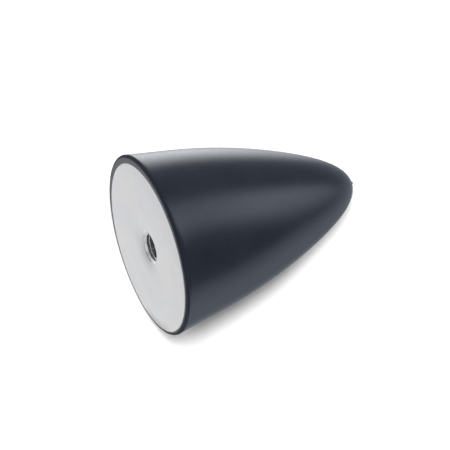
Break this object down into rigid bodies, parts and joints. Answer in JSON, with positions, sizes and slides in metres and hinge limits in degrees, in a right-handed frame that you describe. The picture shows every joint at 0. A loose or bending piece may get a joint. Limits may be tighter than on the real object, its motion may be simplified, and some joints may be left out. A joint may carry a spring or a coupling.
{
  "type": "rubber buffer",
  "caption": "Parabolic rubber buffer with a blunt nose, moulded on a round steel plate with a blind threaded bush in its middle.",
  "frame": {"origin": "centre of the rubber's round rim, in the plane of the flat end face", "axes": "+Z from the flat end to the rubber tip, along the body's axis; +X towards the side where the plate sits nearer the rim"},
  "size_m": [0.075, 0.075, 0.0907],
  "materials": {
    "rubber": "satin black moulded rubber",
    "plated_steel": "matt zinc plating"
  },
  "bodies": {
    "root": {"rubber_body": "rubber", "base_plate": "plated_steel", "threaded_bush": "plated_steel"}
  },
  "joints": []
}
